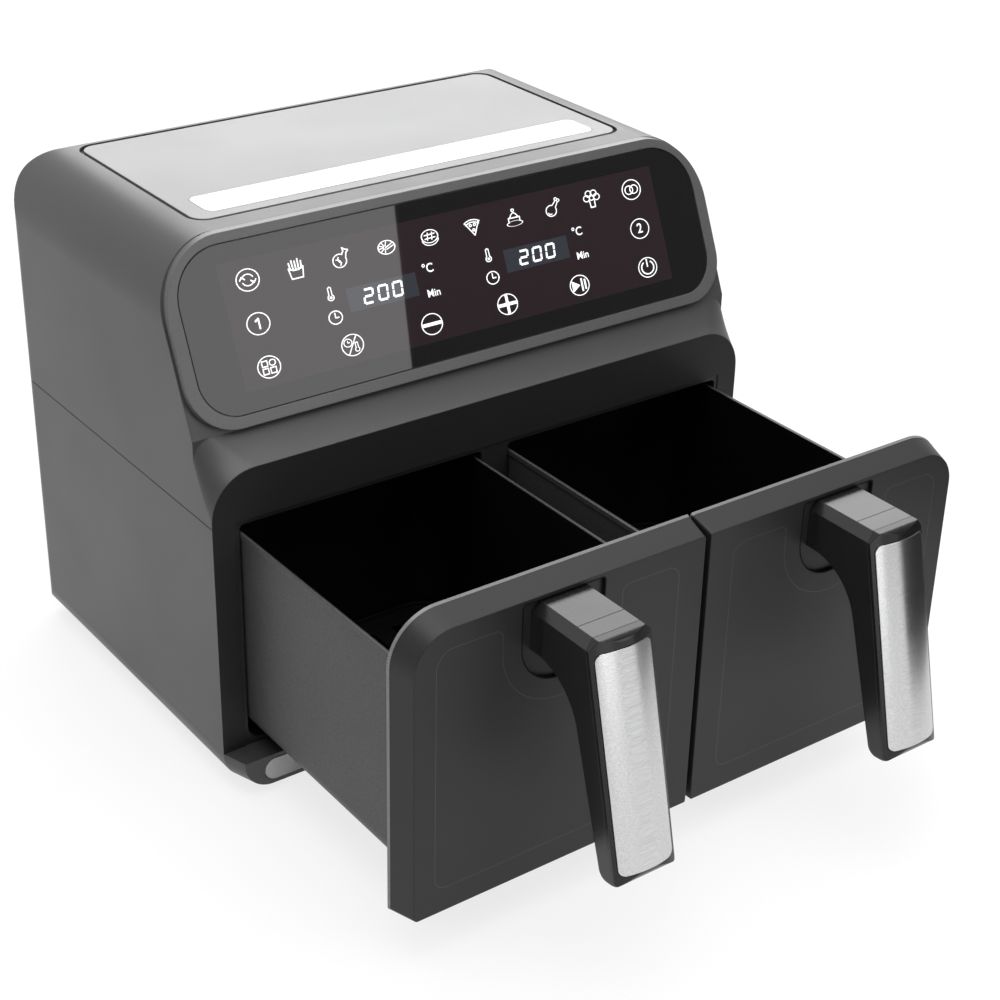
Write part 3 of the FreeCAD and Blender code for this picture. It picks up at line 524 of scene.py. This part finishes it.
# Painted glow: the white print gives off light of its own, the rings and signs as well as the numbers.
mark_white_glow = finish("mark_white_glow", (0.85, 0.86, 0.88), rough=0.4, bump=0.0, glow=0.55, edge=0.0)
piece("panel_marks", marks, mark_white_glow, "housing")
number_half = 23.4
number_low, number_high = 46.4, 60.0
windows = bmesh.new()
for x in (-55.4, 53.9):
    fill(windows, [(x - number_half, number_low), (x + number_half, number_low),
                   (x + number_half, number_high), (x - number_half, number_high)], window_lift)
number_grey = finish("number_grey", (0.036, 0.039, 0.05), rough=0.015, bump=0.0, spread=0.05, edge=0.0,
                     vary=0.1)
piece("number_windows", windows, number_grey, "housing")

# Drawer fronts: moulded plates of dark satin plastic, with a thin line on the face that dips at the handle.
# A dark outline of painted shade marks the pocket that the handle stands in, and a light rim of painted
# highlight runs round the back edge.
# Each ring starts as a polygon whose corners are rounded, and only its inset border stays.
plate_dark = finish("plate_satin", (0.016, 0.016, 0.0165), rough=0.42, grain=1500.0, bump=0.12, edge=0.0009,
                    specular=0.3)
dress(plate_dark, "drawer_front_left", "drawer_front_right")
line_tone = finish("plate_line", (0.036, 0.036, 0.037), rough=0.35, grain=1200.0, bump=0.05, edge=0.0)
# Painted shade: a near-black ring where the pocket's edge falls into shade.
edge_shadow = finish("pocket_shadow", (0.004, 0.004, 0.004), rough=0.6, bump=0.0, edge=0.0, specular=0.1)
# Painted highlight: a light ring where the plate's back edge catches the light.
rim_highlight = finish("plate_rim_highlight", (0.16, 0.16, 0.163), rough=0.3, grain=1200.0, bump=0.05, edge=0.0)


def plate_ring(name, corners, y, thickness, depth, material, side, body):
    """A ring through (x, z, corner radius) points, on the drawer of that side."""
    work = bmesh.new()
    work.faces.new([work.verts.new((side * x, y, z)) for x, z, radius in corners])
    for vertex, (x, z, radius) in zip(list(work.verts), corners):
        bmesh.ops.bevel(work, geom=[vertex], offset=radius, offset_type="OFFSET", segments=24, profile=0.5,
                        affect="VERTICES", material=-1)
    bmesh.ops.recalc_face_normals(work, faces=work.faces)
    inner = list(work.faces)
    if inner[0].normal.y > 0:
        bmesh.ops.reverse_faces(work, faces=inner)
    bmesh.ops.inset_region(work, faces=inner, thickness=thickness, depth=depth, use_boundary=True,
                           use_even_offset=True)
    bmesh.ops.delete(work, geom=inner, context="FACES_ONLY")
    piece(name, work, material, body)


plate_low, plate_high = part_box("drawer_front_left")
plate_out, plate_in = -plate_low[0], -plate_high[0]
plate_face = plate_low[1] - face_lift
line_width = 0.00045
line_out, line_in = 0.172, 0.0186
line_low, line_high = 0.0425, 0.1872
line_corner, line_top_corner = 0.008, 0.011
dip_out, dip_in, dip_low = 0.1319, 0.0569, 0.135
dip_corner, dip_round = 0.005, 0.0374
line_corners = ((line_out, line_low, line_corner), (line_out, line_high, line_top_corner),
                (dip_out, line_high, dip_corner), (dip_out, dip_low, dip_round),
                (dip_in, dip_low, dip_round), (dip_in, line_high, dip_corner),
                (line_in, line_high, line_corner), (line_in, line_low, line_corner))
pocket_line = 0.0008
pocket_out, pocket_in = 0.1208, 0.068
pocket_low, pocket_high = 0.1463, 0.1967
pocket_round, pocket_corner = 0.0252, 0.0025
pocket_corners = ((pocket_out, pocket_low, pocket_round), (pocket_in, pocket_low, pocket_round),
                  (pocket_in, pocket_high, pocket_corner), (pocket_out, pocket_high, pocket_corner))
rim_lift = 0.0001
rim_back = 0.00005
rim_width = 0.0006
rim_depth = 0.0018
rim_corners = ((plate_out + rim_lift, plate_low[2] - rim_lift, 0.003),
               (plate_in - rim_lift, plate_low[2] - rim_lift, 0.001),
               (plate_in - rim_lift, plate_high[2] + rim_lift, 0.0015),
               (plate_out + rim_lift, plate_high[2] + rim_lift, shoulder_radius))
for side, body in ((-1, "left_drawer"), (1, "right_drawer")):
    hand = body.split("_")[0]
    plate_ring("plate_line_" + hand, line_corners, plate_face, line_width, 0.0, line_tone, side, body)
    plate_ring("pocket_edge_" + hand, pocket_corners, plate_face, pocket_line, 0.0, edge_shadow, side, body)
    plate_ring("plate_rim_highlight_" + hand, rim_corners, plate_high[1] - rim_back, rim_width, rim_depth, rim_highlight,
               side, body)

# Pans: deep drawn metal tubs behind the plates, with rounded corners and a small turned rim.
# The outside is a dark grey coating, and the inside a nonstick coating that is nearly black. The inside's
# near-black is partly the coating and partly painted shade in the pan's hollow. The change of tone lies
# within the wall's thickness.
pan_rim = 0.0008
pan_corner = 0.026
wall_middle = 0.00085
floor_skin = 0.0006
# Painted shade: the inside is far darker than the outside coating, for the shade in the hollow.
inside_black_and_shade = (0.0022, 0.0022, 0.0023, 1.0)
pan_low, pan_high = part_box("pan_left")
pan_middle_x = -(pan_low[0] + pan_high[0]) / 2
pan_middle_y = (pan_low[1] + pan_high[1] - pan_rim) / 2
straight_x = (pan_high[0] - pan_low[0]) / 2 - pan_rim - pan_corner
straight_y = (pan_high[1] - pan_low[1] - pan_rim) / 2 - pan_corner


def coated_and_shaded_inside(place, tint):
    across = abs(abs(place.axis("X")) - pan_middle_x)
    along = abs(place.axis("Y") - pan_middle_y)
    past_x = place.maths("MAXIMUM", across - straight_x, 0.0)
    past_y = place.maths("MAXIMUM", along - straight_y, 0.0)
    within = past_x * past_x + past_y * past_y < (pan_corner - wall_middle) ** 2
    above = place.axis("Z") > pan_low[2] + floor_skin
    return place.node("ShaderNodeMixRGB", "Color", Fac=within * above, Color1=tint, Color2=inside_black_and_shade)


nonstick = finish("nonstick_black", (0.053, 0.053, 0.054), rough=0.45, grain=1100.0, bump=0.25, spread=0.3,
                  mask=coated_and_shaded_inside, specular=0.25)
dress(nonstick, "pan_left", "pan_right")

# Crisper trays: slotted metal plates with a black nonstick coating, lifted out of the pans by hand.
# Soft silicone pads stand between tray and pan.
tray_black = finish("tray_black", (0.004, 0.004, 0.0042), rough=0.42, grain=1100.0, bump=0.2, specular=0.2)
dress(tray_black, "crisper_tray_left", "crisper_tray_right")
dress(finish("pad_silicone", (0.015, 0.015, 0.015), rough=0.6), "tray_pads_left", "tray_pads_right")

# Handles: a gloss black plastic arm that stands in the plate's pocket and bends down into the grip.
# A satin cap closes the front of the grip, and a brushed steel strip is let into the cap. The strip's grain
# runs across it.
handle_black = finish("handle_black", (0.012, 0.012, 0.0125), rough=0.25, bump=0.02)
dress(handle_black, "handle_arm_left", "handle_arm_right")
cap_black = finish("cap_black", (0.01, 0.01, 0.0105), rough=0.22, grain=1200.0, bump=0.03, specular=0.35)
dress(cap_black, "handle_cap_left", "handle_cap_right")
steel_brushed = finish("steel_brushed", (0.58, 0.58, 0.585), rough=0.24, grain=420.0, bump=0.04, metallic=1.0,
                       stretch=(0.14, 7, 7), spread=0.14)
dress(steel_brushed, "grip_strip_left", "grip_strip_right")

# Arm joint: the fine gap across the flat top of each handle arm.
# It is a thin dark strip a hair over the plastic, in the tone of the shell joint.
joint_length = 0.029
joint_width = 0.00035
joint_lift = 0.00005
joint_y = -0.2056
arm_low, arm_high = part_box("handle_arm_left")
arm_middle = -(arm_low[0] + arm_high[0]) / 2
for hand, way in (("left", -1), ("right", 1)):
    joint = flat_strip(joint_length, joint_width, (), (way * arm_middle, joint_y, arm_high[2] + joint_lift))
    piece("cap_joint_" + hand, joint, seam_tone, hand + "_drawer")


# Floor: a wide pale sheet that takes the soft shadow.
# What the camera and the gloss see of it is mixed with plain white, so that it runs into the white surround.
def seen_rays(start):
    """The camera's rays, and those of the camera, gloss and glass together."""
    camera_ray, glossy_ray, glass_ray = (start.node("ShaderNodeLightPath", kind) for kind in (
        "Is Camera Ray", "Is Glossy Ray", "Is Transmission Ray"))
    return camera_ray, start.maths("MAXIMUM", camera_ray, start.maths("MAXIMUM", glossy_ray, glass_ray))


floor_reach = 4.0
white_share = 0.78
pale = finish("floor_pale", (0.92, 0.92, 0.92), rough=0.8, grain=40.0, bump=0.0, spread=0.01, edge=0.0,
              specular=0.1)
nodes = pale.node_tree.nodes
start = Socket(pale.node_tree)
matt = Socket(pale.node_tree, nodes["Principled BSDF"].outputs[0])
white = start.node("ShaderNodeEmission", "Emission")
blend = start.node("ShaderNodeMixShader", "Shader", values=(seen_rays(start)[1] * white_share, matt, white))
blend.link(blend, nodes["Material Output"].inputs["Surface"])
ground = bmesh.new()
bmesh.ops.create_grid(ground, x_segments=1, y_segments=1, size=floor_reach)
floor = add_object("floor", ground, pale)

# Surround: white for the camera, and a studio that is bright behind the fryer and dim in front of it.
# The soft light that it gives is a little weaker than what gloss and glass show of it.
fade_slope, fade_middle = 0.8, 0.55
fade_least = 0.19
unseen_share = 0.85
world = bpy.data.worlds.new("surround")
bpy.context.scene.world = world
world.use_nodes = True
sky = world.node_tree.nodes["Background"]
camera_ray, seen = seen_rays(Socket(world.node_tree))
backward = seen.node("ShaderNodeTexCoord", "Generated").axis("Y")
fade = seen.maths("MINIMUM", backward * fade_slope + fade_middle, 1.0)
fade = seen.maths("MAXIMUM", fade, fade_least)
level = fade * (seen * (1.0 - unseen_share) + unseen_share)
sky.inputs["Color"].default_value = (1.0, 1.0, 1.0, 1.0)
seen.link(seen.maths("MAXIMUM", level, camera_ray), sky.inputs["Strength"])

# Lamps: a large soft key overhead, one behind, a bright card that shows as the light end of the glass,
# and a small low lamp in front of the drawers.
# Each row holds the lamp's place, aim, width, height, watts and turn in degrees.
for name, spot, aim, width, height, watts, turn in (
        ("key", (-0.15, -0.5, 2.25), (0.0, 0.0, 0.1), 2.2, 2.2, 52.0, 0.0),
        ("back", (0.85, 1.3, 1.15), (0.0, 0.16, 0.3), 1.7, 1.3, 20.0, 0.0),
        ("card", (0.531, -1.263, 0.745), (-0.06, 0.046, 0.2685), 0.43, 0.9, 3.3, -17.0),
        ("low", (-0.06, -1.45, 0.12), (0.0, -0.25, 0.13), 0.5, 0.3, 0.6, 0.0)):
    lamp = bpy.data.lights.new(name, "AREA")
    lamp.shape = "RECTANGLE"
    lamp.size = width
    lamp.size_y = height
    lamp.energy = watts
    holder = bpy.data.objects.new(name, lamp)
    bpy.context.scene.collection.objects.link(holder)
    holder.location = spot
    facing = (Vector(aim) - Vector(spot)).to_track_quat("-Z", "Y")
    holder.rotation_euler = (facing @ Quaternion((0, 0, 1), math.radians(turn))).to_euler()

# Dark card: stands upright to the right of the drawers, outside the picture.
# Only gloss shows it, where it shades the right of the steel strips.
card_high, card_long = 0.25, 0.56
card_place = (0.42, -0.42, card_high / 2)
card_black = finish("card_black", (0.03, 0.03, 0.03), rough=0.9, grain=40.0, bump=0.0, edge=0.0, specular=0.0)
flag = add_object("dark_card", flat_strip(card_high, card_long, ((quarter, "Y"),), card_place), card_black)
flag.visible_camera = False
flag.visible_diffuse = False
flag.visible_shadow = False

# Camera: stands where the photograph was taken from, to the left of the fryer and above it.
# It looks to the right by its heading and down by its dip, and leans a little.
heading, dip, lean = 0.6408, 0.4933, 0.0246
lens = bpy.data.cameras.new("camera")
lens.lens = 72.69
lens.sensor_width = 36.0
camera = bpy.data.objects.new("camera", lens)
bpy.context.scene.collection.objects.link(camera)
camera.location = (-0.63625, -0.84776, 0.7097)
ahead = Vector((math.sin(heading) * math.cos(dip), math.cos(heading) * math.cos(dip), -math.sin(dip)))
camera.rotation_euler = (ahead.to_track_quat("-Z", "Y") @ Quaternion((0, 0, 1), lean)).to_euler()
bpy.context.scene.camera = camera
bpy.context.scene.view_settings.view_transform = "Standard"
